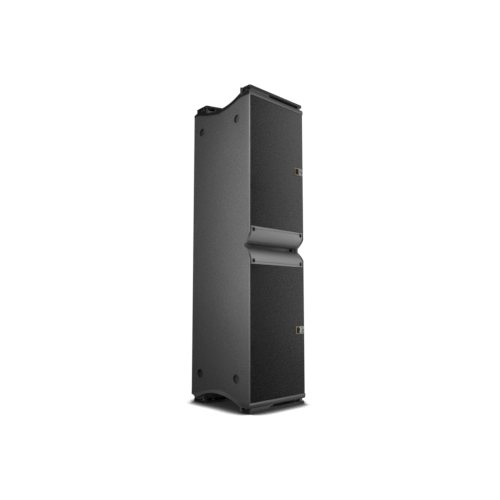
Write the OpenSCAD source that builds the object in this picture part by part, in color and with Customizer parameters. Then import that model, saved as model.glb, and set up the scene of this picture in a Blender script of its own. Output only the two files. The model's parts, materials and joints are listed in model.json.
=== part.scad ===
// Line array loudspeaker enclosure: double 12-inch, three-way, standing on its end.
// X runs across the array height, Y from the grilles to the rear, Z along the long side.

/* [Cabinet] */
// Long side over the rigging plates, vertical as it stands (mm)
overall_len = 1338; // [1200:1:1450]
// Half the array height over the end caps at the front (mm)
cap_half = 177; // [150:0.5:200]
// Half the array height over the plywood at the front (mm)
ply_half = 176.2; // [145:0.1:195]
// Depth of the plywood box from the front plane (mm)
ply_depth = 390; // [340:1:420]
// Taper of each side toward the rear (degrees)
taper = 5; // [0:0.5:8]
// Thickness of the plywood panels (mm)
panel_t = 12; // [9:0.5:18]
// Height of the plywood ends from the middle at the front (mm)
ply_end = 627; // [560:1:680]
// How far the concave grip scoop cuts into each plywood end (mm)
scoop_drop = 30; // [10:1:40]
// Radius on the front vertical edges (mm)
edge_r = 5; // [2:0.5:8]

/* [Rigging] */
// Height of the end cap face from the middle (mm)
cap_face = 648; // [600:1:700]
// Height of the cap face at the bottom of the scoop (mm)
cap_low = 613; // [590:1:640]
// Gap between the end cap and the rail plate (mm)
rail_gap = 10; // [8:0.5:16]
// Depth of the link channel centre behind the front plane, front rail (mm)
front_channel = 35; // [30:1:45]
// Depth of the link channel centre behind the front plane, rear rail (mm)
rear_channel = 353; // [345:1:360]
// Width of the link bars (mm)
link_w = 21.2; // [16:0.2:24]
// Length of the front link bars (mm)
front_link_len = 156; // [130:1:170]
// Length of the rear link bars (mm)
rear_link_len = 192; // [150:1:200]

/* [Horn] */
// Half height of the horn zone between the grilles (mm)
horn_half = 77; // [60:1:100]
// Depth of the horn throat behind the front plane (mm)
throat_depth = 33; // [20:1:45]
// Half height of the high frequency slot (mm)
slot_half = 8; // [5:0.5:12]
// Half length of the high frequency slot (mm)
slot_len_half = 144; // [120:1:150]
// Height of the fin hinge axis from the middle (mm)
hinge_h = 13.5; // [11:0.5:18]
// Depth of the fin hinge axis (mm)
hinge_d = 34; // [30:0.5:38]

/* [Drivers] */
// Distance of each woofer centre from the middle (mm)
woofer_h = 440; // [420:1:450]
// Outer radius of the woofer frame (mm)
woofer_r = 150; // [140:1:152]
// Distance of each midrange pair from the middle (mm)
mid_h = 168; // [160:1:175]
// Distance of each midrange centre from the centre plane (mm)
mid_x = 76; // [72:0.5:78]
// Outer radius of the midrange frame (mm)
mid_r = 74; // [60:1:75]
// Tilt of the midrange baffles toward the axis (degrees)
mid_tilt = 12; // [0:1:20]

/* [Hidden] */
z_mid = overall_len / 2;
y_front = -200;
tt = tan(taper);
rail_low = cap_face + rail_gap;
rail_top = z_mid;
woofer_d = 34;
partition_h = 258;
fin_x = 163.6;
screw_x = 151.5;
grille_low = horn_half + 1.6;
grille_high = ply_end - 2.4;
channel_w = link_w + 0.8;

// ---- frames and curves (inside: x, y = depth from the front plane, z = height from the middle)

module centred() {
    translate([0, y_front, z_mid]) children();
}

module upper() {
    centred() children();
}

module lower() {
    centred() mirror([0, 0, 1]) children();
}

// Extrudes a depth/height outline along X between two places
module along_x(x0, x1) {
    translate([x0, 0, 0]) rotate([90, 0, 90]) linear_extrude(x1 - x0) children();
}

// Everything between the two tapered sides, half wide at the front
module wedge(half, d0, d1, h0, h1) {
    translate([0, 0, h0]) linear_extrude(h1 - h0)
        polygon([[-half + d0 * tt, d0], [half - d0 * tt, d0], [half - d1 * tt, d1], [-half + d1 * tt, d1]]);
}

function arc(cx, cy, r, a0, a1, n) = [for (i = [0 : n]) let (a = a0 + (a1 - a0) * i / n)
    [cx + r * cos(a), cy + r * sin(a)]];

// Height of the plywood end at a depth
function ply_h(d) = d <= 53 ? ply_end
    : d < 205 ? ply_end - scoop_drop * (1 - cos(180 * pow((d - 53) / 152, 0.7))) / 2
    : d < 352 ? ply_end - scoop_drop + scoop_drop * pow((d - 205) / 147, 1.5)
    : ply_end;

// Height of the end cap face at a depth
function cap_h(d) = d < 60 ? cap_face
    : d < 222 ? cap_low + (cap_face - cap_low) * pow((222 - d) / 162, 2.35)
    : d < 350 ? cap_low + (cap_face - cap_low) * pow((d - 222) / 128, 2)
    : cap_face;

ply_curve = concat([[0, ply_end]], [for (d = [53 : 8 : 205]) [d, ply_h(d)]],
    [for (d = [213 : 8 : 345]) [d, ply_h(d)]], [[352, ply_end], [ply_depth, ply_end]]);

cap_curve = concat([[0, cap_face - 12], [1.2, cap_face - 6], [3.2, cap_face - 1.8], [7, cap_face]],
    [for (d = [60 : 8 : 212]) [d, cap_h(d)]], [for (d = [222 : 8 : 342]) [d, cap_h(d)]],
    [[350, cap_face], [384, cap_face], [388, cap_face - 3], [ply_depth, cap_face - 8]]);

// Depth of the horn surface at a height from the middle
function horn_d(h) = h < 60 ? throat_depth * pow((60 - h) / 52, 1.75) : 0;

horn_curve = [for (h = [60 : -4 : 8]) [horn_d(h), h]];

// Side view of the plywood sides: scooped ends and the horn notch in the front edge
module side_outline() {
    difference() {
        polygon(concat(ply_curve, [for (i = [len(ply_curve) - 1 : -1 : 0]) [ply_curve[i][0], -ply_curve[i][1]]]));
        polygon(concat([[-1, 60]], horn_curve, [for (i = [len(horn_curve) - 1 : -1 : 0])
            [horn_curve[i][0], -horn_curve[i][1]]], [[-1, -60]]));
    }
}

// ---- cabinet

module side_solid() {
    difference() {
        intersection() {
            along_x(-ply_half, 0) side_outline();
            translate([0, 0, -z_mid]) linear_extrude(overall_len) polygon(concat(
                arc(-ply_half + edge_r * (1 + tt), edge_r, edge_r, 180, 270, 8),
                [[-ply_half + panel_t, 0], [-ply_half + panel_t + ply_depth * tt, ply_depth],
                [-ply_half + ply_depth * tt, ply_depth]]));
        }
        for (s = [-1, 1]) {
            translate([-ply_half + edge_r - 0.3, -1, s > 0 ? horn_half : -ply_end - 1])
                cube([panel_t, 5, ply_end - horn_half + 1]);
            translate([-fin_x - 6, hinge_d, s * hinge_h]) rotate([0, 90, 0]) cylinder(r = 2.05, h = 10, $fn = 24);
        }
    }
}

module side_panel_left() {
    color("#4b4c4e") centred() difference() {
        side_solid();
        cup_place() translate([0, 0, -3]) cylinder(r = 19.05, h = 20, $fn = 48);
    }
}

module side_panel_right() {
    color("#4b4c4e") centred() difference() {
        mirror([1, 0, 0]) side_solid();
        foot_place() translate([0, 0, -3.5]) cylinder(r = 3.05, h = 4, $fn = 24);
    }
}

// Puts a child on the left side face at the four locating points, its +Z into the cabinet
module cup_place() {
    for (d = [83, 329], s = [-1, 1])
        translate([-ply_half + d * tt, d, s * 541]) rotate([0, 90, -taper]) children();
}

// The same four points on the right side face, +Z out of the cabinet
module foot_place() {
    for (d = [83, 329], s = [-1, 1])
        translate([ply_half - d * tt, d, s * 541]) rotate([0, 90, taper]) children();
}

module recess_cups() {
    color("#47484a") centred() cup_place() difference() {
        translate([0, 0, 0.2]) cylinder(r = 19, h = 11.3, $fn = 48);
        translate([0, 0, -1]) cylinder(r = 17.5, h = 11, $fn = 48);
    }
}

module side_feet() {
    color("#1c1c1d") centred() foot_place() union() {
        translate([0, 0, 0.05]) cylinder(r = 17, h = 5, $fn = 48);
        translate([0, 0, -3]) cylinder(r = 3, h = 4, $fn = 24);
    }
}

module rear_panel() {
    color("#434446") centred() difference() {
        wedge(ply_half - panel_t - 0.05, ply_depth - panel_t, ply_depth, -ply_end + panel_t + 0.05, ply_end - panel_t - 0.05);
        translate([-85, 370, -62]) cube([170, 30, 124]);
        for (s = [-1, 1])
            translate([-80, 370, s * 400 - 40]) cube([160, 30, 80]);
    }
}

module end_panel() {
    intersection() {
        wedge(ply_half - panel_t - 0.05, 13, ply_depth, 500, 700);
        along_x(-ply_half, ply_half) polygon(concat(ply_curve,
            [for (i = [len(ply_curve) - 1 : -1 : 0]) [ply_curve[i][0], ply_curve[i][1] - panel_t]]));
    }
}

module end_panel_top() {
    color("#434446") upper() end_panel();
}

module end_panel_bottom() {
    color("#434446") lower() end_panel();
}

// Woofer opening and four port openings, cut along the depth
module woofer_cuts() {
    translate([0, 0, woofer_h]) rotate([-90, 0, 0]) cylinder(r = 134.5, h = 90, $fn = 96);
    port_place() cylinder(r = 23.05, h = 90, $fn = 48);
}

module port_place() {
    for (x = [-124, 124], h = [-143, 143])
        translate([x, 0, woofer_h + h]) rotate([-90, 0, 0]) children();
}

module woofer_baffle() {
    difference() {
        wedge(ply_half - panel_t - 0.05, woofer_d, woofer_d + 18, partition_h + panel_t + 0.05, ply_end - panel_t - 0.15);
        woofer_cuts();
    }
}

module woofer_baffle_upper() {
    color("#2b2b2c") upper() woofer_baffle();
}

module woofer_baffle_lower() {
    color("#2b2b2c") lower() woofer_baffle();
}

module partition() {
    wedge(ply_half - panel_t - 0.05, 24, ply_depth - panel_t - 0.05, partition_h, partition_h + panel_t);
}

module partition_upper() {
    color("#8a6f4d") upper() partition();
}

module partition_lower() {
    color("#8a6f4d") lower() partition();
}

// Puts a child at a midrange centre: local z runs to the rear along the tilted axis
module mid_place(x) {
    translate([x, 50, mid_h]) rotate([-90 + mid_tilt, 0, 0]) children();
}

module mid_baffle() {
    difference() {
        intersection() {
            wedge(ply_half - panel_t - 0.05, 16, 120, horn_half + 0.3, partition_h - 0.05);
            mid_place(0) translate([-180, -110, 0]) cube([360, 220, 14]);
        }
        for (x = [-mid_x, mid_x])
            mid_place(x) translate([0, 0, -1]) cylinder(r = 66.2, h = 20, $fn = 72);
    }
}

module mid_baffle_upper() {
    color("#2b2b2c") upper() mid_baffle();
}

module mid_baffle_lower() {
    color("#2b2b2c") lower() mid_baffle();
}

// ---- horn and fins

module horn_half_section() {
    polygon([[0.2, horn_half - 0.3], [0.2, 68.4], [8.6, 68.4], [9.8, 58], [14.9, 46], [22.9, 34], [31.9, 24],
        [37, 18.4], [38.8, 18.4], [38.8, slot_half], [60, slot_half], [60, 40], [24, horn_half - 0.3]]);
}

module horn_frame() {
    color("#77787a") centred() difference() {
        intersection() {
            wedge(ply_half - panel_t - 0.1, 0, 70, -90, 90);
            union() {
                for (m = [0, 1])
                    mirror([0, 0, m]) along_x(-170, 170) horn_half_section();
                for (x = [-170, slot_len_half])
                    along_x(x, x + 170 - slot_len_half) translate([38.8, -slot_half]) square([21.2, 2 * slot_half]);
            }
        }
        for (x = [-screw_x, screw_x], m = [0, 1])
            mirror([0, 0, m]) {
                translate([x - 5, 6, 55]) cube([10, 14, 15]);
                translate([x, -1, 63.4]) rotate([-90, 0, 0]) cylinder(r = 10.1, h = 9.6, $fn = 48);
            }
    }
}

module fin() {
    difference() {
        intersection() {
            wedge(fin_x, -1, 45, 0, 90);
            union() {
                along_x(-175, 175) polygon(concat([[0, 66.9], [0, 62]], [for (h = [60 : -3.6 : 9.6]) [horn_d(h), h]],
                    [[hinge_d, 9.6], [36, 17.4], [31, 24], [22, 34], [14, 46], [9, 58], [8, 66.9]]));
                translate([-170, hinge_d, hinge_h]) rotate([0, 90, 0]) cylinder(r = 4, h = 340, $fn = 32);
            }
        }
        for (s = [-1, 1]) {
            translate([s * fin_x - 16, hinge_d, hinge_h]) rotate([0, 90, 0]) cylinder(r = 2.06, h = 32, $fn = 24);
            translate([s * screw_x, -1, 63.4]) rotate([-90, 0, 0]) cylinder(r = 9, h = 5, $fn = 48);
            translate([s * screw_x, -1, 63.4]) rotate([-90, 0, 0]) cylinder(r = 3.05, h = 20, $fn = 24);
        }
    }
}

module fin_upper() {
    color("#7d7e80") upper() fin();
}

module fin_lower() {
    color("#7d7e80") lower() fin();
}

module fin_screw_pair() {
    for (s = [-1, 1])
        translate([s * screw_x, 0, 63.4]) rotate([-90, 0, 0]) difference() {
            union() {
                translate([0, 0, 0.5]) cylinder(r = 8.8, h = 3.5, $fn = 48);
                translate([0, 0, 3]) cylinder(r = 3, h = 10, $fn = 24);
            }
            translate([0, 0, -1]) cylinder(r = 3.8, h = 4, $fn = 6);
        }
}

module fin_screws_upper() {
    color("#161616") upper() fin_screw_pair();
}

module fin_screws_lower() {
    color("#161616") lower() fin_screw_pair();
}

// Protective mesh strip at the back of the high frequency slot
module slot_mesh() {
    color("#4a4b4c") centred()
        translate([-slot_len_half + 0.1, 58.2, -slot_half + 0.1]) cube([2 * slot_len_half - 0.2, 1, 2 * slot_half - 0.2]);
}

module fin_pins() {
    color("#9a9b9d") centred() for (s = [-1, 1], x = [-fin_x - 5.5, fin_x - 15])
        translate([x, hinge_d, s * hinge_h]) rotate([0, 90, 0]) cylinder(r = 2, h = 20.5, $fn = 24);
}

// ---- grilles

module grille() {
    half = ply_half - edge_r - 0.1;
    difference() {
        translate([-half, 0.6, grille_low]) cube([2 * half, 12, grille_high - grille_low]);
        translate([-half + 10.1, 2.2, grille_low + 1.6]) cube([2 * half - 20.2, 14, grille_high - grille_low - 3.2]);
        for (x = [-half - 1, half - 8.6])
            translate([x, 2.2, horn_half]) cube([9.6, 14, ply_end - horn_half]);
    }
}

module grille_upper() {
    color("#262627") upper() grille();
}

module grille_lower() {
    color("#262627") lower() grille();
}

module grille_foams() {
    color("#1d1d1e") for (m = [0, 1])
        centred() mirror([0, 0, m]) translate([-160.6, 2.25, grille_low + 1.7]) cube([321.2, 8, grille_high - grille_low - 3.4]);
}

module badges() {
    color("#a58a52") for (m = [0, 1])
        centred() mirror([0, 0, m]) translate([116, 0, 336]) difference() {
            cube([48, 0.58, 34]);
            translate([4, -1, 4]) cube([40, 1.3, 26]);
        }
}

// ---- rigging

module end_cap() {
    difference() {
        union() {
            intersection() {
                wedge(cap_half, 0, ply_depth, 590, 660);
                along_x(-cap_half, cap_half) polygon(concat(cap_curve, [[ply_depth, 595], [0, 595]]));
                for (m = [0, 1])
                    mirror([m, 0, 0]) translate([-cap_half, 0, 0]) rotate([90, 0, 180 - taper])
                        translate([0, 0, -5]) linear_extrude(420) polygon([[0, 590], [0, 641], [-1.4, 645.5],
                            [-5, 648.2], [-370, 648.2], [-370, 590]]);
            }
            translate([0, 0, 610]) linear_extrude(cap_face - 610) polygon([[-134, 352], [-134, 316.5], [-60, 288.5],
                [-40, 286], [40, 286], [60, 288.5], [134, 316.5], [134, 352]]);
        }
        for (m = [0, 1])
            mirror([m, 0, 0]) along_x(-180, -130.5) polygon([[354, cap_face + 0.4], [395, cap_face - 15.6], [395, cap_face + 5], [354, cap_face + 5]]);
        along_x(-190, 190) polygon(concat([[-5, 580], [-5, ply_end + 1.65], [-1, ply_end + 1.65], [0.6, ply_end + 0.05]],
            [for (i = [1 : len(ply_curve) - 2]) [ply_curve[i][0], ply_curve[i][1] + 0.05]],
            [[400, ply_end + 0.05], [400, 580]]));
        post_place() translate([0, 0, 636]) cylinder(r = 6.45, h = 30, $fn = 32);
        bolt_place() translate([0, 0, 636]) cylinder(r = 3.05, h = 20, $fn = 24);
    }
}

// Round post at the left end of each front rail
module post_place() {
    translate([-169.5, 53, 0]) children();
}

module end_cap_top() {
    color("#5b5c5e") upper() end_cap();
}

module end_cap_bottom() {
    color("#5b5c5e") lower() end_cap();
}

module bolt_place() {
    for (p = [[-150, 14], [-64, 14], [-150, 60], [-64, 60], [152, 14], [105, 60], [128, 60],
            [-116, 376], [-44, 376], [-110, 328], [-48, 328], [90, 376], [79, 328], [102, 328]])
        translate([p[0], p[1], 0]) children();
}

module rail_plate(points) {
    difference() {
        translate([0, 0, rail_low]) linear_extrude(rail_top - rail_low) polygon(points);
        bolt_place() translate([0, 0, rail_low - 1]) cylinder(r = 3.05, h = 20, $fn = 24);
        bolt_place() translate([0, 0, rail_top - 3.4]) cylinder(r1 = 3.05, r2 = 6.05, h = 3, $fn = 32);
        bolt_place() translate([0, 0, rail_top - 0.4]) cylinder(r = 6.05, h = 2, $fn = 32);
        post_place() translate([0, 0, rail_low - 1]) cylinder(r = 6.45, h = 20, $fn = 32);
    }
}

module front_rail() {
    rail_plate(concat(arc(-166, 8, 7, 180, 270, 6), arc(166, 8, 7, -90, 0, 6), [[171, 30]], arc(159, 50, 9, 0, 30, 3),
        arc(149, 71, 6, 30, 90, 4), arc(-149, 71, 6, 90, 150, 4), arc(-159, 50, 9, 150, 180, 3), [[-171, 30]]));
}

module rear_rail() {
    rail_plate(concat([[-137, 318], [-135.6, 313.2], [-132, 310.4], [-61, 285.6], [-44, 283.4], [44, 283.4],
        [61, 285.6], [132, 310.4], [135.6, 313.2], [137, 318]], arc(119, 387, 8, 5, 90, 5),
        arc(-119, 387, 8, 90, 175, 5)));
}

module front_rail_top() {
    color("#3a3b3d") upper() front_rail();
}

module front_rail_bottom() {
    color("#3a3b3d") lower() front_rail();
}

module rear_rail_top() {
    color("#3a3b3d") upper() rear_rail();
}

module rear_rail_bottom() {
    color("#3a3b3d") lower() rear_rail();
}

module spacer_block(x0, x1, d0, d1) {
    translate([x0, d0, cap_face + 0.05]) cube([x1 - x0, d1 - d0, rail_gap - 0.1]);
}

module rail_spacers() {
    f0 = front_channel - channel_w / 2;
    f1 = front_channel + channel_w / 2;
    r0 = rear_channel - channel_w / 2;
    r1 = rear_channel + channel_w / 2;
    difference() {
        union() {
            spacer_block(-166, -50, 4, f0);
            spacer_block(-160, -50, f1, 66);
            spacer_block(144, 160, 4, f0);
            spacer_block(100, 109.6, f1 + 2, 66);
            spacer_block(122.4, 133, f1 + 2, 66);
            spacer_block(-126, -34, r1, 389);
            spacer_block(-118, -102, 320, r0);
            spacer_block(-84, -74, 320, r0);
            spacer_block(-56, -40, 320, r0);
            spacer_block(74, 83.6, 320, r0 - 2);
            spacer_block(96.4, 108, 320, r0 - 2);
            spacer_block(74, 108, r1, 389);
        }
        bolt_place() translate([0, 0, 640]) cylinder(r = 3.05, h = 30, $fn = 24);
    }
    for (p = [[-132, 318], [-91.5, 303], [-16, 292], [16, 292], [66, 296], [113, 312], [132, 318]])
        spacer_block(p[0] - 4.5, p[0] + 4.5, p[1] - 4.5, p[1] + 4.5);
    post_place() translate([0, 0, 636.05]) cylinder(r = 6.4, h = 32, $fn = 32);
}

module rail_spacers_top() {
    color("#555658") upper() rail_spacers();
}

module rail_spacers_bottom() {
    color("#555658") lower() rail_spacers();
}

module rail_bolt() {
    difference() {
        union() {
            translate([0, 0, 637]) cylinder(r = 3, h = 29, $fn = 24);
            translate([0, 0, rail_top - 3.4]) cylinder(r1 = 3, r2 = 6, h = 3, $fn = 32);
            translate([0, 0, rail_top - 0.4]) cylinder(r = 6, h = 0.2, $fn = 32);
        }
        translate([0, 0, rail_top - 3]) cylinder(r = 2.3, h = 4, $fn = 6);
    }
}

module rail_bolts() {
    color("#8d8e90") for (m = [0, 1])
        centred() mirror([0, 0, m]) bolt_place() rail_bolt();
}

module link_bar(x0, len, d, notches) {
    difference() {
        translate([0, d, rail_low - rail_gap + 0.5]) linear_extrude(rail_gap - 1) polygon(concat(
            arc(x0 + 6, -link_w / 2 + 6, 6, 180, 270, 5), [[x0 + len, -link_w / 2], [x0 + len, link_w / 2]],
            arc(x0 + 6, link_w / 2 - 6, 6, 90, 180, 5)));
        for (i = [0 : notches - 1])
            translate([x0 + 9 + 22 * i, d + (d > 200 ? -link_w / 2 - 1 : 2.2), rail_low - rail_gap]) cube([13, 9.6, rail_gap]);
    }
}

module front_link_top() {
    color("#b4b5b7") upper() link_bar(-164, front_link_len, front_channel, 1);
}

module front_link_bottom() {
    color("#b4b5b7") lower() link_bar(-164, front_link_len, front_channel, 1);
}

module rear_link_top() {
    color("#b4b5b7") upper() link_bar(-128, rear_link_len, rear_channel, 4);
}

module rear_link_bottom() {
    color("#b4b5b7") lower() link_bar(-128, rear_link_len, rear_channel, 4);
}

// Spring latch: tongue in the link channel, grip bar over the scoop
module latch(x, tip, grip, dir) {
    translate([x - 6, min(tip, grip), rail_low - 8]) cube([12, abs(grip - tip), 6]);
    translate([x - 13, grip - (dir > 0 ? 0.01 : 6.99), rail_low - 8]) cube([26, 7, 6]);
}

module front_latch() {
    union() latch(116, 38, 77, 1);
}

module rear_latch() {
    union() latch(90, 350, 284, -1);
}

module front_latch_top() {
    color("#2c2d2f") upper() front_latch();
}

module front_latch_bottom() {
    color("#2c2d2f") lower() front_latch();
}

module rear_latch_top() {
    color("#2c2d2f") upper() rear_latch();
}

module rear_latch_bottom() {
    color("#2c2d2f") lower() rear_latch();
}

// ---- drivers

module woofer_frame() {
    translate([0, woofer_d, woofer_h]) rotate([-90, 0, 0]) difference() {
        rotate_extrude($fn = 96) polygon([[woofer_r, -6], [woofer_r, -0.05], [134, -0.05], [134, 8], [92, 70], [92, 84],
            [44, 84], [44, 78], [86, 78], [86, 68], [129, 5], [130.4, 3], [130.4, -6]]);
        for (a = [0 : 60 : 300])
            rotate([0, 0, a]) translate([60, -26, 14]) cube([80, 52, 52]);
    }
}

module woofer_frame_upper() {
    color("#1f1f20") upper() woofer_frame();
}

module woofer_frame_lower() {
    color("#1f1f20") lower() woofer_frame();
}

module woofer_magnets() {
    color("#3c3c3e") for (m = [0, 1])
        centred() mirror([0, 0, m]) translate([0, woofer_d, woofer_h]) rotate([-90, 0, 0]) difference() {
            translate([0, 0, 84.05]) cylinder(r = 82, h = 46, $fn = 64);
            translate([0, 0, 80]) cylinder(r = 40.2, h = 42, $fn = 64);
            for (a = [0 : 90 : 270])
                rotate([0, 0, a + 45]) translate([66, 0, 120]) cylinder(r = 3, h = 20, $fn = 24);
        }
    color("#3c3c3e") for (m = [0, 1])
        centred() mirror([0, 0, m]) translate([0, woofer_d, woofer_h]) rotate([-90, 0, 0])
            translate([0, 0, 66]) cylinder(r = 35.8, h = 56, $fn = 64);
}

module woofer_cone() {
    translate([0, woofer_d, woofer_h]) rotate([-90, 0, 0]) rotate_extrude($fn = 96)
        polygon([[0, 20], [14, 21], [27, 25.5], [37, 33], [70, 14], [100, 3], [114, -1], [116, -1], [116, 0.6],
            [100, 6], [70, 17.5], [38.4, 40], [38.4, 106], [37.4, 106], [37.4, 36], [26, 28], [14, 23.6], [0, 22.6]]);
}

module woofer_cone_upper() {
    color("#151516") upper() woofer_cone();
}

module woofer_cone_lower() {
    color("#151516") lower() woofer_cone();
}

module woofer_surround() {
    translate([0, woofer_d, woofer_h]) rotate([-90, 0, 0]) rotate_extrude($fn = 96)
        polygon(concat([[116.4, -1]], arc(123.5, -2, 6.5, 180, 360, 10), [[130.3, -1], [130.3, 0.4]],
            arc(123.5, -2, 5.3, 360, 180, 10), [[116.4, 0.6]]));
}

module woofer_surround_upper() {
    color("#101011") upper() woofer_surround();
}

module woofer_surround_lower() {
    color("#101011") lower() woofer_surround();
}

module mid_frame() {
    difference() {
        union() {
            rotate_extrude($fn = 72) polygon([[mid_r, -5], [mid_r, -0.05], [66, -0.05], [66, 4], [48, 40], [48, 50],
                [21.4, 50], [21.4, 46], [44, 46], [44, 39], [62.6, 3], [63.4, -5]]);
            translate([0, 0, 49.9]) rotate_extrude($fn = 64) polygon([[21.4, 0], [46, 0], [46, 34], [0, 34], [0, 26],
                [21.4, 26]]);
        }
        for (a = [0 : 60 : 300])
            rotate([0, 0, a]) translate([30, -13, 9]) cube([60, 26, 27]);
    }
    translate([0, 0, 42]) cylinder(r = 18.4, h = 34, $fn = 48);
}

module mid_frames() {
    for (x = [-mid_x, mid_x])
        mid_place(x) mid_frame();
}

module mid_frames_upper() {
    color("#1f1f20") upper() mid_frames();
}

module mid_frames_lower() {
    color("#1f1f20") lower() mid_frames();
}

module mid_cone() {
    rotate_extrude($fn = 72) polygon(concat([[0, 9], [10, 11], [19, 16], [50, 1], [51, -1]],
        arc(56.4, -1, 5.4, 180, 360, 8), [[62, -1], [62, 0.2], [60.6, 0.2]], arc(56.4, -1, 4.2, 360, 180, 8),
        [[51, 2.6], [20.4, 19.5], [20.4, 62], [19.4, 62], [19.4, 19], [10, 13.2], [0, 11.2]]));
}

module mid_cone_upper_left() {
    color("#202021") upper() mid_place(-mid_x) mid_cone();
}

module mid_cone_upper_right() {
    color("#202021") upper() mid_place(mid_x) mid_cone();
}

module mid_cone_lower_left() {
    color("#202021") lower() mid_place(-mid_x) mid_cone();
}

module mid_cone_lower_right() {
    color("#202021") lower() mid_place(mid_x) mid_cone();
}

module port_tubes() {
    color("#242425") for (m = [0, 1])
        centred() mirror([0, 0, m]) port_place() translate([0, 0, woofer_d - 2]) difference() {
            union() {
                cylinder(r = 23, h = 56, $fn = 48);
                translate([0, 0, 0]) cylinder(r = 25.5, h = 1.95, $fn = 48);
            }
            translate([0, 0, -1]) cylinder(r = 21, h = 60, $fn = 48);
        }
}

module waveguides() {
    color("#2a2a2b") centred() for (s = [-1, 1]) difference() {
        intersection() {
            translate([s * 72 - 71, 0, -60]) linear_extrude(120)
                polygon([[0, 60.1], [142, 60.1], [142, 72], [136, 150], [110, 190], [32, 190], [6, 150], [0, 72]]);
            along_x(-150, 150) polygon([[60.1, -14], [60.1, 14], [72, 16], [120, 30], [190, 46], [190, -46], [120, -30],
                [72, -16]]);
        }
        translate([s * 72 - 66, 50, -7]) cube([132, 110, 14]);
        translate([s * 72, 150, 0]) rotate([-90, 0, 0]) cylinder(r = 18, h = 60, $fn = 48);
    }
}

module hf_drivers() {
    color("#303032") centred() for (s = [-1, 1])
        translate([s * 70, 190.1, 0]) rotate([-90, 0, 0]) difference() {
            union() {
                cylinder(r = 40, h = 12, $fn = 48);
                translate([0, 0, 11]) cylinder(r = 60, h = 46, $fn = 64);
                translate([0, 0, 56]) cylinder(r = 44, h = 9, $fn = 48);
            }
            translate([0, 0, -1]) cylinder(r = 18, h = 30, $fn = 48);
        }
}

// ---- rear fittings

module connector_plate() {
    color("#1b1b1c") centred() difference() {
        union() {
            translate([-95, ply_depth + 0.05, -72]) cube([190, 3, 144]);
            translate([-84.5, 362, -61.5]) cube([169, 30, 123]);
        }
        translate([-81, 366, -58]) cube([162, 40, 116]);
        for (s = [-1, 1])
            translate([s * 38, 355, 0]) rotate([-90, 0, 0]) cylinder(r = 17.05, h = 30, $fn = 48);
    }
}

module connectors() {
    color("#8f9092") centred() for (s = [-1, 1])
        translate([s * 38, 0, 0]) rotate([-90, 0, 0]) difference() {
            union() {
                translate([0, 0, 350]) cylinder(r = 17, h = 36, $fn = 48);
                translate([0, 0, 366.05]) cylinder(r = 24, h = 3, $fn = 48);
            }
            translate([0, 0, 372]) cylinder(r = 14, h = 20, $fn = 48);
        }
}

module rear_handles() {
    color("#19191a") centred() for (s = [-1, 1])
        translate([0, 0, s * 400]) union() {
            difference() {
                union() {
                    translate([-92, ply_depth + 0.05, -52]) cube([184, 3, 104]);
                    translate([-79.5, 345, -39.5]) cube([159, 46, 79]);
                }
                translate([-76, 348, -36]) cube([152, 60, 72]);
            }
            translate([-77, 392, 0]) rotate([0, 90, 0]) cylinder(r = 8, h = 154, $fn = 32);
        }
}

side_panel_left();
side_panel_right();
rear_panel();
end_panel_top();
end_panel_bottom();
woofer_baffle_upper();
woofer_baffle_lower();
mid_baffle_upper();
mid_baffle_lower();
partition_upper();
partition_lower();
horn_frame();
end_cap_top();
end_cap_bottom();
front_rail_top();
front_rail_bottom();
rear_rail_top();
rear_rail_bottom();
rail_spacers_top();
rail_spacers_bottom();
front_link_top();
front_link_bottom();
rear_link_top();
rear_link_bottom();
front_latch_top();
front_latch_bottom();
rear_latch_top();
rear_latch_bottom();
rail_bolts();
grille_upper();
grille_lower();
grille_foams();
fin_upper();
fin_lower();
fin_screws_upper();
fin_screws_lower();
fin_pins();
slot_mesh();
badges();
woofer_frame_upper();
woofer_frame_lower();
woofer_magnets();
woofer_cone_upper();
woofer_cone_lower();
woofer_surround_upper();
woofer_surround_lower();
mid_frames_upper();
mid_frames_lower();
mid_cone_upper_left();
mid_cone_upper_right();
mid_cone_lower_left();
mid_cone_lower_right();
port_tubes();
waveguides();
hf_drivers();
connector_plate();
connectors();
rear_handles();
recess_cups();
side_feet();
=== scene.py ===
import json
import math

import bmesh
import bpy
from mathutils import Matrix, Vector


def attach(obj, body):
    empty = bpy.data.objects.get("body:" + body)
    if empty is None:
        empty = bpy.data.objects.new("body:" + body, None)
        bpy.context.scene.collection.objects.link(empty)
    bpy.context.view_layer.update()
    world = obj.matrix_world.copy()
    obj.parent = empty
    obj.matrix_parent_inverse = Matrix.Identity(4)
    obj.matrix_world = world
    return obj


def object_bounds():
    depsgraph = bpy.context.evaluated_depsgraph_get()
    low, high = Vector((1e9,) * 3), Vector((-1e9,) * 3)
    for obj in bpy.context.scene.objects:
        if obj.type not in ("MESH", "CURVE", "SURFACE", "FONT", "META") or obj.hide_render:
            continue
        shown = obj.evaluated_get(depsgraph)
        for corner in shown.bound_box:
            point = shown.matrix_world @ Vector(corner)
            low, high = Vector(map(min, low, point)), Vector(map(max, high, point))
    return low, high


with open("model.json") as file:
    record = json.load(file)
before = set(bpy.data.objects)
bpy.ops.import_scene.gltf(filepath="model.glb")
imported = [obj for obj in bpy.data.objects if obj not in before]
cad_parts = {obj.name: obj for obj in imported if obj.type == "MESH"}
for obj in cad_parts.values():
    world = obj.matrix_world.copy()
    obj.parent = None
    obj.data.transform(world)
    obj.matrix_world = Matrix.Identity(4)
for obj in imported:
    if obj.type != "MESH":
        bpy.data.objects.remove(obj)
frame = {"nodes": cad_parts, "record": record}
CAD_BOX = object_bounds()
nodes = frame["nodes"]
HEIGHT = round(CAD_BOX[1][2], 6)
MID_Z = HEIGHT / 2
BADGE_MID = 353.0  # each badge's middle, from the middle of the cabinet (mm)
FRONT_Y = round(CAD_BOX[0][1], 6)


# ---- small builders ---------------------------------------------------------

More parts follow.
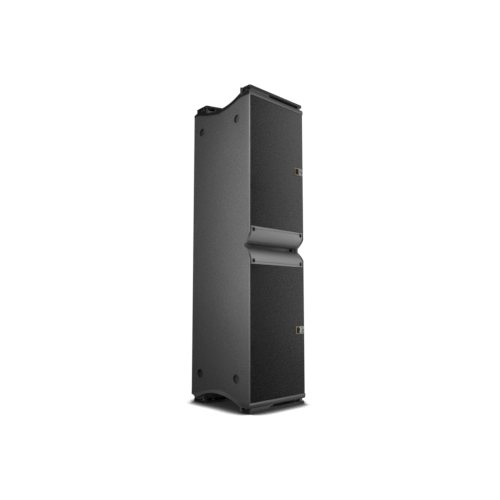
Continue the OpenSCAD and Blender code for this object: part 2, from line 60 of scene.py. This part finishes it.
def add_node(tree, kind, inputs=None, **settings):
    """A shader node with its sockets filled: plain values are set, sockets are linked."""
    n = tree.nodes.new(kind)
    for key, value in settings.items():
        setattr(n, key, value)
    for key, value in (inputs or {}).items():
        socket = n.inputs[key]
        if isinstance(value, bpy.types.NodeSocket):
            tree.links.new(value, socket)
        else:
            socket.default_value = value
    return n


def start_material(name):
    m = bpy.data.materials.new(name)
    m.use_nodes = True
    tree = m.node_tree
    return m, tree, tree.nodes["Principled BSDF"]


def object_coords(tree):
    return add_node(tree, "ShaderNodeTexCoord").outputs["Object"]


def noise(tree, coords, scale, detail=3.0, rough=0.55):
    return add_node(tree, "ShaderNodeTexNoise", {
        "Vector": coords, "Scale": scale, "Detail": detail, "Roughness": rough})


def along(tree, coords, axis):
    """One axis of a vector."""
    return add_node(tree, "ShaderNodeSeparateXYZ", {0: coords}).outputs[axis]


def ramp(tree, factor, stops):
    n = add_node(tree, "ShaderNodeValToRGB", {"Fac": factor})
    elements = n.color_ramp.elements
    while len(elements) < len(stops):
        elements.new(0.5)
    for e, (place, colour) in zip(elements, stops):
        e.position = place
        e.color = (*colour, 1.0)
    return n.outputs["Color"]


def remap(tree, value, low, high, to_low, to_high):
    return add_node(tree, "ShaderNodeMapRange", {
        "Value": value, "From Min": low, "From Max": high,
        "To Min": to_low, "To Max": to_high}).outputs["Result"]


def mix_colour(tree, factor, a, b, blend="MIX"):
    n = tree.nodes.new("ShaderNodeMix")
    n.data_type = "RGBA"
    n.blend_type = blend
    for index, value in ((0, factor), (6, a), (7, b)):
        if isinstance(value, bpy.types.NodeSocket):
            tree.links.new(value, n.inputs[index])
        elif index == 0:
            n.inputs[index].default_value = value
        else:
            n.inputs[index].default_value = (*value, 1.0)
    return n.outputs[2]


def math_node(tree, operation, a, b=None):
    inputs = {0: a}
    if b is not None:
        inputs[1] = b
    return add_node(tree, "ShaderNodeMath", inputs, operation=operation).outputs[0]


def bump(tree, bsdf, height, distance, strength=1.0, under=None):
    inputs = {"Height": height, "Distance": distance, "Strength": strength}
    if under is not None:
        inputs["Normal"] = under
    out = add_node(tree, "ShaderNodeBump", inputs).outputs["Normal"]
    tree.links.new(out, bsdf.inputs["Normal"])
    return out


def edge_mask(tree, radius, low=0.02, high=0.16):
    """How near a convex or concave edge is: where a rounded normal leaves the true one."""
    rounded = add_node(tree, "ShaderNodeBevel", {"Radius": radius}, samples=6).outputs["Normal"]
    true = add_node(tree, "ShaderNodeNewGeometry").outputs["Normal"]
    dot = add_node(tree, "ShaderNodeVectorMath", {0: rounded, 1: true},
                   operation="DOT_PRODUCT").outputs["Value"]
    away = math_node(tree, "SUBTRACT", 1.0, dot)
    return remap(tree, away, low, high, 0.0, 1.0)


def coated(name, dark, light, rough, grain, height, patch=9.0, speck=None,
           metallic=0.0, wear=None, coat=0.0, edge=0.0, gloss=0.5, grime=None, mottle=105.0, colouring=None):
    """A sprayed or powder coat: soft tone changes, an orange-peel grain, rounded edges that wear first."""
    m, tree, bsdf = start_material(name)
    coords = object_coords(tree)
    blotch = noise(tree, coords, patch, 4.0).outputs["Fac"]
    fine = noise(tree, coords, grain, 2.5, 0.5).outputs["Fac"]
    colour = ramp(tree, blotch, [(0.3, dark), (0.7, light)])
    roughness = remap(tree, blotch, 0.3, 0.7, rough - 0.04, rough + 0.05)
    if speck:
        cloud = noise(tree, coords, mottle, 3.0, 0.6).outputs["Fac"]
        both = math_node(tree, "ADD", math_node(tree, "MULTIPLY", cloud, 0.72),
                         math_node(tree, "MULTIPLY", fine, 0.28))
        peaks = remap(tree, both, 0.36, 0.64, 1.0 - speck, 1.0 + speck)
        scaled = add_node(tree, "ShaderNodeVectorMath", {0: colour}, operation="SCALE")
        tree.links.new(peaks, scaled.inputs["Scale"])
        colour = scaled.outputs["Vector"]
    if colouring:
        colour = colouring(tree, coords, colour)
    if grime:
        dust_and_shade = noise(tree, coords, 46.0, 6.0, 0.72).outputs["Fac"]
        colour = mix_colour(tree, remap(tree, dust_and_shade, 0.6, 0.78, 0.0, 0.3), colour, grime)
    if wear:
        chips = noise(tree, coords, 150.0, 5.0, 0.7).outputs["Fac"]
        edge_wear_and_highlight = math_node(tree, "MULTIPLY", edge_mask(tree, 0.0016),
                           remap(tree, chips, 0.42, 0.6, 0.15, 0.9))
        colour = mix_colour(tree, edge_wear_and_highlight, colour, wear)
        roughness = math_node(tree, "SUBTRACT", roughness, math_node(tree, "MULTIPLY", edge_wear_and_highlight, 0.14))
    tree.links.new(colour, bsdf.inputs["Base Color"])
    tree.links.new(roughness, bsdf.inputs["Roughness"])
    bsdf.inputs["Metallic"].default_value = metallic
    bsdf.inputs["Coat Weight"].default_value = coat
    bsdf.inputs["Specular IOR Level"].default_value = gloss
    under = None
    if edge:
        under = add_node(tree, "ShaderNodeBevel", {"Radius": edge}, samples=6).outputs["Normal"]
    bump(tree, bsdf, fine, height, under=under)
    return m


def grey(v):
    return (v, v, v * 1.01)


def height_from_middle(tree, coords):
    return math_node(tree, "SUBTRACT", along(tree, coords, "Z"), MID_Z)


def facing(tree, axis):
    normal = add_node(tree, "ShaderNodeTexCoord").outputs["Normal"]
    return math_node(tree, "ABSOLUTE", along(tree, normal, axis))


def side_tones(tree, coords, colour):
    """The narrow front face of each side, beside the grille, gets painted shade that deepens toward the
    bottom; the rounded front edge gets a painted highlight that grows toward the top, and so does the side
    close to the front edge near the top.
    """
    up = along(tree, coords, "Z")
    share = remap(tree, up, 0.0, HEIGHT, 0.0, 1.0)
    # painted shade on the narrow front face, darkest toward the bottom
    painted_shade_front_face = ramp(tree, share, [(0.1, grey(0.012)), (0.45, grey(0.018)),
                                (0.6, grey(0.05)), (0.85, grey(0.088))])
    depth = along(tree, coords, "Y")
    # painted highlight on the side close to the front edge, only near the top
    near = math_node(tree, "MULTIPLY", remap(tree, depth, FRONT_Y, FRONT_Y + 0.04, 1.0, 0.0),
                     remap(tree, up, 0.8, 1.25, 0.0, 1.0))
    colour = mix_colour(tree, near, colour, grey(0.175))
    turn = facing(tree, "Y")
    # painted highlight along the rounded front edge, brighter toward the top
    edge_wear_and_highlight = ramp(tree, share, [(0.1, grey(0.10)), (0.5, grey(0.15)), (0.75, grey(0.26)), (0.95, grey(0.39))])
    colour = mix_colour(tree, remap(tree, turn, 0.12, 0.3, 0.0, 0.85), colour, edge_wear_and_highlight)
    front = remap(tree, turn, 0.74, 0.9, 0.0, 0.95)
    return mix_colour(tree, front, colour, painted_shade_front_face)


def cap_tones(tree, coords, colour):
    """The cap's front band is sprayed with the cabinet, with a lighter line beside the plywood edge. The
    bottom cap's band has painted shade toward the -X end; the side faces have painted light from below on the
    bottom cap, darker toward the front, and painted shade on the top cap.
    """
    up = height_from_middle(tree, coords)
    away = math_node(tree, "ABSOLUTE", up)
    line = remap(tree, away, 0.6335, 0.6345, 1.0, 0.0)
    top = remap(tree, up, -0.1, 0.1, 0.0, 1.0)
    across = along(tree, coords, "X")
    # painted shade: the bottom cap's front band darkens toward the -X end
    painted_band_shade = mix_colour(tree, remap(tree, across, -0.17, -0.02, 0.0, 1.0), grey(0.045), grey(0.088))
    band = mix_colour(tree, line, mix_colour(tree, top, painted_band_shade, grey(0.098)), grey(0.165))
    front = remap(tree, facing(tree, "Y"), 0.55, 0.75, 0.0, 1.0)
    colour = mix_colour(tree, front, colour, band)
    sides = remap(tree, facing(tree, "X"), 0.6, 0.8, 0.0, 1.0)
    depth = along(tree, coords, "Y")
    # painted bounce light on the bottom cap's side faces, with painted shade toward the front
    painted_bounce_light = ramp(tree, remap(tree, depth, FRONT_Y, -FRONT_Y, 0.0, 1.0),
               [(0.1, grey(0.10)), (0.24, grey(0.17)), (0.45, grey(0.24)), (1.0, grey(0.2))])
    # painted shade on the top cap's side faces
    edge = mix_colour(tree, top, painted_bounce_light, grey(0.016))
    return mix_colour(tree, sides, colour, edge)


def fin_tones(tree, coords, colour):
    """The sprayed fins carry painted shade that darkens toward the slot, and the upper fin has painted light
    that brightens toward the +X end.
    """
    up = height_from_middle(tree, coords)
    place = remap(tree, math_node(tree, "ABSOLUTE", up), 0.0, 0.07, 0.0, 1.0)
    # painted shade on both fins, deepening toward the slot
    upper = ramp(tree, place, [(0.12, grey(0.048)), (0.22, grey(0.074)), (0.33, grey(0.172)),
                               (0.45, grey(0.215)), (0.62, grey(0.25)), (0.9, grey(0.268))])
    lower = ramp(tree, place, [(0.12, grey(0.035)), (0.22, grey(0.055)), (0.33, grey(0.128)),
                               (0.45, grey(0.20)), (0.62, grey(0.255)), (0.9, grey(0.272))])
    across = along(tree, coords, "X")
    # painted light on the upper fin, brighter toward the +X end
    painted_light_across = ramp(tree, remap(tree, across, -0.17, 0.17, 0.0, 1.0),
                [(0.0, (0.78,) * 3), (0.3, (0.96,) * 3), (0.6, (1.08,) * 3), (0.9, (1.24,) * 3)])
    upper = mix_colour(tree, 1.0, upper, painted_light_across, "MULTIPLY")
    painted_slot_shade = mix_colour(tree, remap(tree, up, -0.002, 0.002, 0.0, 1.0), lower, upper)
    return mix_colour(tree, 0.92, colour, painted_slot_shade)


def mesh_tones(tree, coords, colour):
    """Painted shade darkens the slot's mesh toward the -X end."""
    across = along(tree, coords, "X")
    # painted shade, deepest at the -X end
    dust_and_shade = ramp(tree, remap(tree, across, -0.15, 0.15, 0.0, 1.0),
                [(0.0, (0.1,) * 3), (0.45, (0.2,) * 3), (0.85, (0.85,) * 3)])
    return mix_colour(tree, 1.0, colour, dust_and_shade, "MULTIPLY")


def throat_tones(tree, coords, colour):
    """Only the front strip of the horn frame is sprayed; the throat behind it is black."""
    depth = along(tree, coords, "Y")
    inside = remap(tree, depth, FRONT_Y + 0.006, FRONT_Y + 0.0085, 0.0, 1.0)
    return mix_colour(tree, inside, colour, grey(0.014))


MATERIALS = {
    "side_paint": coated("side_paint", grey(0.132), grey(0.144), 0.55, 250.0, 0.00026, 7.0,
                         speck=0.22, mottle=150.0, wear=grey(0.17), edge=0.0012, colouring=side_tones),
    "inner_ply": coated("inner_ply", grey(0.022), grey(0.032), 0.8, 260.0, 0.0004, 20.0, speck=0.05),
    "horn_paint": coated("horn_paint", grey(0.207), grey(0.219), 0.42, 1500.0, 0.00005, 8.0, speck=0.02,
                         wear=grey(0.3), edge=0.0008, colouring=fin_tones),
    "cap_paint": coated("cap_paint", grey(0.042), grey(0.052), 0.48, 900.0, 0.00006, 16.0, speck=0.05,
                        wear=grey(0.12), edge=0.0012, colouring=cap_tones),
    "rail_paint": coated("rail_paint", grey(0.022), grey(0.029), 0.42, 900.0, 0.00006, 30.0, speck=0.05,
                         wear=grey(0.06), edge=0.0010, grime=grey(0.045)),
    "plated_steel": coated("plated_steel", grey(0.36), grey(0.46), 0.34, 240.0, 0.00003, 40.0,
                           metallic=1.0, edge=0.0008, grime=(0.20, 0.18, 0.15)),
    "latch_black": coated("latch_black", grey(0.016), grey(0.024), 0.4, 600.0, 0.00006, 30.0,
                          wear=grey(0.08), edge=0.0008),
    "bolt_steel": coated("bolt_steel", grey(0.2), grey(0.3), 0.38, 500.0, 0.00003, 60.0,
                         metallic=1.0, edge=0.0004),
    "mesh_steel": coated("mesh_steel", grey(0.085), grey(0.105), 0.5, 800.0, 0.0003, 40.0, speck=0.25,
                         colouring=mesh_tones),
    "foam": coated("foam", grey(0.010), grey(0.016), 0.95, 500.0, 0.0012, 40.0, speck=0.3),
    "black_screw": coated("black_screw", grey(0.003), grey(0.006), 0.5, 900.0, 0.00003, 60.0,
                          edge=0.0004, gloss=0.25),
    "driver_frame": coated("driver_frame", grey(0.018), grey(0.026), 0.5, 700.0, 0.0002, 20.0),
    "magnet": coated("magnet", grey(0.05), grey(0.08), 0.45, 600.0, 0.0001, 30.0, metallic=0.6),
    "cone_pulp": coated("cone_pulp", grey(0.012), grey(0.020), 0.8, 300.0, 0.0006, 40.0, speck=0.2),
    "surround_rubber": coated("surround_rubber", grey(0.010), grey(0.014), 0.6, 800.0, 0.0001, 30.0),
    "port_plastic": coated("port_plastic", grey(0.014), grey(0.020), 0.5, 700.0, 0.0001, 20.0),
    "fitting_black": coated("fitting_black", grey(0.016), grey(0.023), 0.45, 900.0, 0.00008, 20.0, speck=0.05,
                            wear=grey(0.05), edge=0.0010),
    "foot_rubber": coated("foot_rubber", grey(0.012), grey(0.018), 0.75, 700.0, 0.0002, 30.0, edge=0.0008),
}


def brass():
    """Aged brass that is silver plated toward the tab side, with painted shade along each badge's lower part.
    """
    m, tree, bsdf = start_material("badge_brass")
    coords = object_coords(tree)
    patina = noise(tree, coords, 180.0, 5.0).outputs["Fac"]
    colour = ramp(tree, patina, [(0.3, (0.30, 0.20, 0.085)), (0.7, (0.62, 0.46, 0.22))])
    split = add_node(tree, "ShaderNodeSeparateXYZ", {0: coords})
    colour = mix_colour(tree, remap(tree, split.outputs["X"], 0.138, 0.15, 0.0, 0.85), colour, grey(0.42))
    spacing = 2 * BADGE_MID * 0.001
    along_pair = math_node(tree, "FRACT", math_node(tree, "DIVIDE", split.outputs["Z"], spacing))
    # painted shade along each badge's lower part
    shade = remap(tree, along_pair, 0.42, 0.49, 0.35, 1.0)
    colour = mix_colour(tree, shade, grey(0.10), colour)
    tree.links.new(colour, bsdf.inputs["Base Color"])
    tree.links.new(remap(tree, patina, 0.3, 0.7, 0.42, 0.28), bsdf.inputs["Roughness"])
    bsdf.inputs["Metallic"].default_value = 1.0
    edge = add_node(tree, "ShaderNodeBevel", {"Radius": 0.0006}, samples=6).outputs["Normal"]
    bump(tree, bsdf, noise(tree, coords, 1400.0).outputs["Fac"], 0.00003, under=edge)
    return m


def cup():
    """Locating cup: the floor is sprayed with the panel, the wall is bare black moulding."""
    m, tree, bsdf = start_material("cup_plastic")
    coords = object_coords(tree)
    floor = remap(tree, facing(tree, "X"), 0.6, 0.8, 0.0, 1.0)
    fine = noise(tree, coords, 250.0, 2.5, 0.5).outputs["Fac"]
    paint = ramp(tree, fine, [(0.3, grey(0.086)), (0.7, grey(0.098))])
    wall = ramp(tree, fine, [(0.3, grey(0.011)), (0.7, grey(0.016))])
    tree.links.new(mix_colour(tree, floor, wall, paint), bsdf.inputs["Base Color"])
    tree.links.new(remap(tree, fine, 0.3, 0.7, 0.55, 0.65), bsdf.inputs["Roughness"])
    bump(tree, bsdf, fine, 0.0002)
    return m


def perforated_grille():
    """Fine perforated steel: round holes in a staggered grid, dark cloth behind them, and a painted sheen on
    the steel that brightens toward the top and the +X side.
    """
    m, tree, bsdf = start_material("grille_steel")
    coords = object_coords(tree)
    split = add_node(tree, "ShaderNodeSeparateXYZ", {0: coords})
    pitch = 0.0042
    row = pitch * math.sqrt(3.0)
    shift = 10 * row

    def cell(offset_x, offset_z):
        u = math_node(tree, "DIVIDE", math_node(tree, "ADD", split.outputs["X"], shift + offset_x), pitch)
        v = math_node(tree, "DIVIDE", math_node(tree, "ADD", split.outputs["Z"], offset_z), row)
        fu = math_node(tree, "SUBTRACT", math_node(tree, "FRACT", u), 0.5)
        centred = math_node(tree, "SUBTRACT", math_node(tree, "FRACT", v), 0.5)
        fv = math_node(tree, "MULTIPLY", centred, math.sqrt(3.0))
        return math_node(tree, "SQRT", math_node(tree, "ADD", math_node(tree, "MULTIPLY", fu, fu),
                                                 math_node(tree, "MULTIPLY", fv, fv)))

    near = math_node(tree, "MINIMUM", cell(0.0, 0.0), cell(pitch / 2, row / 2))
    web = add_node(tree, "ShaderNodeMapRange", {"Value": near, "From Min": 0.29, "From Max": 0.37},
                   interpolation_type="SMOOTHSTEP").outputs["Result"]
    tone = noise(tree, coords, 11.0, 4.0).outputs["Fac"]
    fleck = noise(tree, coords, 170.0, 3.0, 0.6).outputs["Fac"]
    steel = ramp(tree, tone, [(0.3, grey(0.0020)), (0.7, grey(0.0035))])
    # painted sheen on the steel, brighter toward the top and toward the +X side
    tall = remap(tree, split.outputs["Z"], 0.0, HEIGHT, 0.0, 1.0)
    left = ramp(tree, tall, [(0.5, grey(0.0)), (0.67, grey(0.006)), (0.9, grey(0.032))])
    right = ramp(tree, tall, [(0.1, grey(0.034)), (0.4, grey(0.050)),
                              (0.67, grey(0.090)), (0.9, grey(0.116))])
    painted_sheen = mix_colour(tree, remap(tree, split.outputs["X"], -0.15, 0.17, 0.0, 1.0), left, right)
    steel = mix_colour(tree, 1.0, steel, painted_sheen, "ADD")
    cloth = ramp(tree, fleck, [(0.3, grey(0.001)), (0.7, grey(0.002))])
    tree.links.new(mix_colour(tree, web, cloth, steel), bsdf.inputs["Base Color"])
    gloss = remap(tree, fleck, 0.38, 0.62, 0.25, 0.29)
    tree.links.new(add_node(tree, "ShaderNodeMix", {0: web, 2: 0.3, 3: gloss}).outputs[0],
                   bsdf.inputs["Roughness"])
    bsdf.inputs["Specular IOR Level"].default_value = 0.30
    bump(tree, bsdf, web, 0.00012)
    return m


HORN_FRAME = coated("horn_frame_paint", grey(0.26), grey(0.275), 0.42, 1500.0, 0.00005, 8.0, speck=0.02,
                    wear=grey(0.33), edge=0.0008, colouring=throat_tones)
MATERIALS["badge_brass"] = brass()
MATERIALS["cup_plastic"] = cup()
MATERIALS["grille_steel"] = perforated_grille()

for part in frame["record"]["subparts"]:
    target = nodes[part["node"]]
    for place in target.material_slots:
        place.material = HORN_FRAME if part["node"] == "horn_frame" else MATERIALS[part["material_slot"]]


# ---- small fittings that the CAD leaves out ------------------------------------

def piece(name, bm, slot_name, material=None):
    """A finished mesh piece that rides on the cabinet, with its finish from the record's slot."""
    bmesh.ops.recalc_face_normals(bm, faces=bm.faces)
    mesh = bpy.data.meshes.new(name)
    bm.to_mesh(mesh)
    bm.free()
    mesh.shade_smooth()
    mesh.set_sharp_from_angle(angle=math.radians(32.0))
    mesh.materials.append(material or MATERIALS[slot_name])
    obj = bpy.data.objects.new(name, mesh)
    bpy.context.scene.collection.objects.link(obj)
    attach(obj, "cabinet")


def turned(bm, x, d, h, outward, profile, sides=36):
    """A turned part about the depth axis. The profile runs from the back centre to the front centre as
    (radius, rise) in mm; a third value marks a hexagonal ring."""
    rings = []
    for step in profile:
        radius, rise = step[0], step[1]
        y = FRONT_Y + (d + outward * rise) * 0.001
        if radius == 0.0:
            rings.append([bm.verts.new((x * 0.001, y, MID_Z + h * 0.001))])
            continue
        ring = []
        for k in range(sides):
            angle = math.tau * k / sides
            r = radius
            if len(step) > 2:
                r = radius * math.cos(math.pi / 6) / math.cos(angle % (math.pi / 3) - math.pi / 6)
            up = MID_Z + (h + r * math.sin(angle)) * 0.001
            ring.append(bm.verts.new(((x + r * math.cos(angle)) * 0.001, y, up)))
        rings.append(ring)
    for a, b in zip(rings, rings[1:]):
        for k in range(sides):
            j = (k + 1) % sides
            if len(a) == 1:
                bm.faces.new((a[0], b[k], b[j]))
            elif len(b) == 1:
                bm.faces.new((a[k], a[j], b[0]))
            else:
                bm.faces.new((a[k], a[j], b[j], b[k]))


def button_head(r, tall):
    """Domed cap screw with a hexagonal socket."""
    dome = [(r * math.cos(a), tall * (0.25 + 0.75 * math.sin(a))) for a in (0.0, 0.3, 0.6, 0.85)]
    socket = [(0.58 * r, tall), (0.5 * r, tall, 6), (0.47 * r, 0.3 * tall, 6), (0.0, 0.2 * tall)]
    return [(0.0, 0.02), (r, 0.02)] + dome + socket


def plate(bm, x0, x1, h0, h1, back, front, corner, rim):
    """A thin plate on the front with rounded corners and an eased front edge, in mm."""
    def outline(inset, d):
        loop = []
        for cx, ch, start in ((x1 - corner, h1 - corner, 0), (x0 + corner, h1 - corner, 90),
                              (x0 + corner, h0 + corner, 180), (x1 - corner, h0 + corner, 270)):
            for k in range(7):
                a = math.radians(start + 15.0 * k)
                r = corner - inset
                loop.append(bm.verts.new(((cx + r * math.cos(a)) * 0.001, FRONT_Y + d * 0.001,
                                          MID_Z + (ch + r * math.sin(a)) * 0.001)))
        return loop

    loops = [outline(0.0, back), outline(0.0, front + rim),
             outline(0.3 * rim, front + 0.3 * rim), outline(rim, front)]
    for a, b in zip(loops, loops[1:]):
        for k in range(len(a)):
            j = (k + 1) % len(a)
            bm.faces.new((a[k], a[j], b[j], b[k]))
    bm.faces.new(loops[0])
    bm.faces.new(loops[-1])


# Depths are in mm from the front face, heights in mm from the middle.
REAR = 393.06
DISH_FLOOR = 369.06
CONNECTOR_X = 38
INSERT_PROFILE = [(0.0, 0.0), (13.6, 0.0), (13.6, 2.6), (13.2, 3.0), (12.6, 3.0), (12.2, 2.2), (7.6, 2.2),
                  (7.3, 2.6), (7.1, 9.0), (6.5, 9.8), (3.0, 9.8), (2.6, 8.6), (0.0, 8.6)]
screws = bmesh.new()
for h in (-400, 400):
    for sx in (-84, 0, 84):
        for sh in (-44, 44):
            turned(screws, sx, REAR, h + sh, 1, button_head(3.6, 2.2))
piece("handle_screws", screws, "black_screw")

screws = bmesh.new()
for sx in (-88, 0, 88):
    for sh in (-65, 65):
        turned(screws, sx, REAR, sh, 1, button_head(3.4, 2.0))
piece("connector_plate_screws", screws, "black_screw")

inserts, contacts, flange_screws = bmesh.new(), bmesh.new(), bmesh.new()
for cx in (-CONNECTOR_X, CONNECTOR_X):
    turned(inserts, cx, 372.05, 0, 1, INSERT_PROFILE)
    for k in range(8):
        a = math.tau * (k + 0.5) / 8
        turned(contacts, cx + 9.9 * math.cos(a), 374.3, 9.9 * math.sin(a), 1,
               [(0.0, 0.0), (1.1, 0.0), (1.1, 5.6), (0.8, 6.3), (0.0, 6.5)], sides=18)
    for k in range(4):
        a = math.tau * (k + 0.5) / 4
        turned(flange_screws, cx + 20.5 * math.cos(a), DISH_FLOOR, 20.5 * math.sin(a), 1,
               button_head(1.9, 1.1), sides=24)
piece("connector_inserts", inserts, "fitting_black")
piece("connector_contacts", contacts, "badge_brass")
piece("connector_flange_screws", flange_screws, "bolt_steel")


def span(side, low, high):
    """A pair of heights on the upper or lower half, in rising order."""
    return sorted((side * low, side * high))


ENAMEL = coated("badge_enamel", grey(0.003), grey(0.006), 0.5, 900.0, 0.00003, 60.0, gloss=0.12)
inlays, tabs, tab_screws, gaskets = bmesh.new(), bmesh.new(), bmesh.new(), bmesh.new()
for side in (-1, 1):
    plate(inlays, 120.3, 143.0, *span(side, 340.3, 365.7), 0.29, 0.12, 1.2, 0.08)
    plate(tabs, 143.4, 159.7, *span(side, 340.3, 365.7), 0.29, 0.06, 1.2, 0.08)
    plate(tabs, 164.3, 170.8, *span(side, 338.0, 368.0), 0.56, 0.26, 1.4, 0.12)
    turned(tab_screws, 167.6, 0.25, side * BADGE_MID, -1, button_head(3.0, 0.23))
    plate(gaskets, 113.2, 115.8, *span(side, 333.4, 372.6), 0.57, 0.2, 1.0, 0.1)
    plate(gaskets, 116.2, 164.0, *span(side, 370.3, 372.6), 0.57, 0.2, 1.0, 0.1)
    plate(gaskets, 116.2, 164.0, *span(side, 333.4, 335.7), 0.57, 0.2, 1.0, 0.1)
piece("badge_inlays", inlays, "fitting_black", ENAMEL)
piece("badge_tabs", tabs, "plated_steel")
piece("badge_tab_screws", tab_screws, "black_screw")
piece("badge_gaskets", gaskets, "fitting_black", ENAMEL)


# ---- stage, camera and light -------------------------------------------------

def stage_floor():
    """A white studio floor. The camera sees a contact shadow drawn from ambient occlusion."""
    m = bpy.data.materials.new("studio_floor")
    m.use_nodes = True
    tree = m.node_tree
    for n in list(tree.nodes):
        tree.nodes.remove(n)
    coords = object_coords(tree)
    tone = noise(tree, coords, 3.0).outputs["Fac"]
    shade = add_node(tree, "ShaderNodeAmbientOcclusion", {"Distance": 0.125}, samples=24).outputs["AO"]
    white = ramp(tree, shade, [(0.05, grey(0.012)), (0.38, grey(0.034)), (0.57, grey(0.075)),
                               (0.69, grey(0.26)), (0.79, grey(1.04))])
    seen = add_node(tree, "ShaderNodeEmission", {"Color": white, "Strength": 1.0})
    dull = ramp(tree, tone, [(0.3, grey(0.05)), (0.7, grey(0.07))])
    bounce = add_node(tree, "ShaderNodeBsdfDiffuse", {"Color": dull})
    path = add_node(tree, "ShaderNodeLightPath")
    both = add_node(tree, "ShaderNodeMixShader",
                    {0: path.outputs["Is Camera Ray"], 1: bounce.outputs[0], 2: seen.outputs[0]})
    add_node(tree, "ShaderNodeOutputMaterial", {"Surface": both.outputs[0]})
    bm = bmesh.new()
    bmesh.ops.create_grid(bm, x_segments=4, y_segments=4, size=9.0)
    mesh = bpy.data.meshes.new("floor")
    bm.to_mesh(mesh)
    bm.free()
    floor = bpy.data.objects.new("floor", mesh)
    floor.location = (0.0, 0.0, -0.0005)
    bpy.context.scene.collection.objects.link(floor)
    mesh.materials.append(m)
    floor.visible_diffuse = False
    floor.visible_glossy = False
    floor.visible_shadow = False


stage_floor()

camera_data = bpy.data.cameras.new("camera")
camera_data.sensor_width = 36.0
camera_data.lens = 38.7792
camera = bpy.data.objects.new("camera", camera_data)
bpy.context.scene.collection.objects.link(camera)
yaw, pitch = math.radians(46.235), math.radians(5.73)
heading = Vector((math.sin(yaw) * math.cos(pitch), math.cos(yaw) * math.cos(pitch), math.sin(pitch)))
camera.location = (-1.7286, -1.6891, 0.4297)
camera.rotation_euler = heading.to_track_quat("-Z", "Y").to_euler()
bpy.context.scene.camera = camera


def softbox(name, place, target, size, power, spread=math.pi):
    data = bpy.data.lights.new(name, "AREA")
    data.shape = "RECTANGLE"
    data.size, data.size_y = size
    data.energy = power
    data.spread = spread
    light = bpy.data.objects.new(name, data)
    light.location = place
    aim = Vector(target) - Vector(place)
    light.rotation_euler = aim.to_track_quat("-Z", "Y").to_euler()
    bpy.context.scene.collection.objects.link(light)
    light.visible_camera = False


softbox("front_low", (0.0, -2.2, 0.35), (0.0, -0.2, 0.6), (1.2, 0.4), 20.0)
softbox("strip_right", (2.2, -1.2, 1.7), (0.1, -0.2, 0.9), (0.3, 1.6), 6.4)
softbox("strip_front_right", (2.0, -1.7, 1.7), (0.1, -0.2, 0.9), (0.4, 1.6), 2.2)
softbox("strip_low_right", (1.2, -0.8, 0.5), (0.1, -0.2, 0.5), (0.15, 0.8), 1.8)
softbox("strip_floor_right", (1.2, -0.8, -0.2), (0.1, -0.2, 0.0), (0.15, 0.6), 0.4)
softbox("front_left_high", (-1.5, -1.7, 1.9), (-0.17, -0.2, 0.95), (0.5, 0.5), 5.0)
softbox("edge_high", (-0.62, -0.78, 1.62), (-0.176, -0.2, 1.2), (0.15, 0.3), 0.85)
softbox("side_near", (-0.5, -0.22, 0.87), (-0.17, -0.1, 0.87), (0.12, 0.85), 1.8)
softbox("side_low", (-0.41, -0.33, 0.38), (-0.17, -0.13, 0.36), (0.12, 0.5), 0.62)
softbox("top", (0.0, 0.0, 2.8), (0.0, 0.0, 1.0), (1.0, 1.0), 28.0)
softbox("rear_fill", (0.9, 3.0, 1.6), (0.0, 0.2, 0.7), (1.2, 1.6), 45.0)
softbox("right_fill", (2.9, 0.9, 1.3), (0.15, 0.0, 0.7), (1.0, 1.6), 30.0)

world = bpy.data.worlds.new("studio")
bpy.context.scene.world = world
world.use_nodes = True
wt = world.node_tree
for n in list(wt.nodes):
    wt.nodes.remove(n)
seen = add_node(wt, "ShaderNodeBackground", {"Color": (1, 1, 1, 1), "Strength": 1.05})
lit = add_node(wt, "ShaderNodeBackground", {"Color": (1, 1, 1, 1), "Strength": 0.06})
path = add_node(wt, "ShaderNodeLightPath")
both = add_node(wt, "ShaderNodeMixShader",
                {0: path.outputs["Is Camera Ray"], 1: lit.outputs[0], 2: seen.outputs[0]})
add_node(wt, "ShaderNodeOutputWorld", {"Surface": both.outputs[0]})
bpy.context.scene.view_settings.view_transform = "Standard"
bpy.context.scene.view_settings.look = "None"
